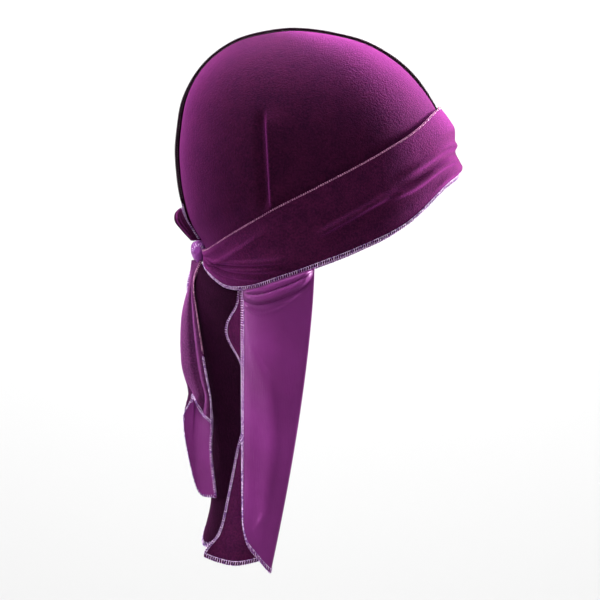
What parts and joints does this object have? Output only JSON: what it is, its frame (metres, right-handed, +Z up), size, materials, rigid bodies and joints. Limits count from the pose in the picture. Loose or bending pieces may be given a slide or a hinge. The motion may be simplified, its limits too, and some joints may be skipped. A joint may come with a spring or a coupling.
{
  "type": "durag",
  "caption": "Velvet durag tied as worn: seamed crown, ties wrapped round the head and knotted at the nape with a bow loop, hanging tie ends, and a long cape turned out at one side.",
  "frame": {"origin": "the inside of the crown at its top, on the centre seam's plane, where the crown rests on the head", "axes": "+Z up, +X towards the brow, -Y towards the wearer's right, which is the side with the turned-out cape"},
  "size_m": [0.2077, 0.158, 0.3878],
  "materials": {
    "velvet": "purple stretch velvet, dark where it faces the viewer and bright at grazing angles",
    "knit_back": "the velvet's smooth knitted back, a lighter purple with a soft gloss",
    "stitching": "dark overlocked seam edge"
  },
  "bodies": {
    "root": {"crown_right": "velvet", "crown_left": "velvet", "centre_seam": "stitching", "tie_outer_wrap": "velvet", "tie_inner_wrap": "velvet", "knot": "knit_back", "bow_loop": "velvet", "tie_end_back": "velvet", "tie_end_front": "velvet", "cape": "knit_back"}
  },
  "joints": []
}
